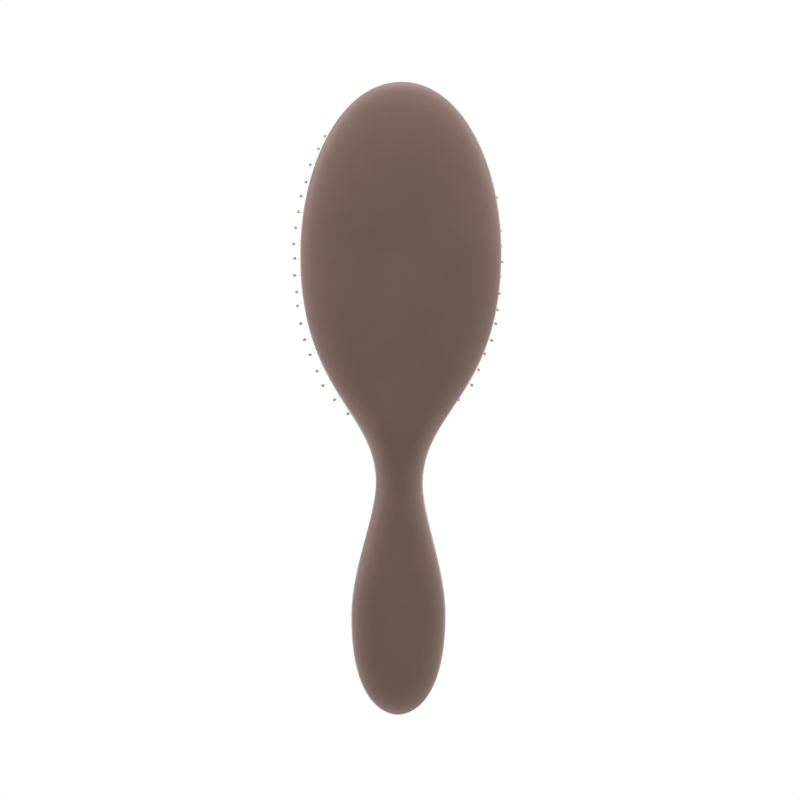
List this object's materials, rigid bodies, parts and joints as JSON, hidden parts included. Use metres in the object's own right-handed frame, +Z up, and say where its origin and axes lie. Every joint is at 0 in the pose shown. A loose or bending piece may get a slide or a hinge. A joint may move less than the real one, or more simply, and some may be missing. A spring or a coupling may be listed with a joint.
{
  "type": "boar bristle grooming brush",
  "caption": "Oval cushion hairbrush with a slim waisted handle: ball tipped pins and boar strands stand on a domed rubber pad that gives when pressed.",
  "frame": {"origin": "middle of the flat on the back of the head, at the head's widest place, where the brush rests on its back", "axes": "+Y along the brush from the handle to the tip of the head, +Z up out of the pad along the middle pins, +X across the head"},
  "size_m": [0.0758, 0.2242, 0.0404],
  "materials": {
    "soft_touch_shell": "matte",
    "ring_plastic": "satin",
    "pad_rubber": "matte",
    "nylon_pins": "satin",
    "boar_hair": "satin"
  },
  "bodies": {
    "housing": {"back_shell": "soft_touch_shell", "front_shell": "soft_touch_shell", "pad_clamp_ring": "ring_plastic", "rubber_pad": "pad_rubber"},
    "centre_quills": {"centre_bristles": "boar_hair"},
    "inner_quills": {"inner_bristles": "boar_hair"},
    "outer_quills": {"outer_bristles": "nylon_pins"},
    "edge_quills": {"edge_bristles": "nylon_pins"}
  },
  "joints": [
    {"name": "centre_press", "type": "slide", "parent": "housing", "child": "centre_quills", "axis": [0, 0, -1], "range_m": [0, 0.0045], "stiffness_N_per_m": 1500, "deforming": ["rubber_pad"]},
    {"name": "inner_press", "type": "slide", "parent": "housing", "child": "inner_quills", "axis": [0, 0, -1], "range_m": [0, 0.0044]},
    {"name": "outer_press", "type": "slide", "parent": "housing", "child": "outer_quills", "axis": [0, 0, -1], "range_m": [0, 0.0035]},
    {"name": "edge_press", "type": "slide", "parent": "housing", "child": "edge_quills", "axis": [0, 0, -1], "range_m": [0, 0.0008]}
  ],
  "couplings": [
    {"joint": "inner_press", "follows": "centre_press", "ratio": 0.976},
    {"joint": "outer_press", "follows": "centre_press", "ratio": 0.769},
    {"joint": "edge_press", "follows": "centre_press", "ratio": 0.17}
  ]
}
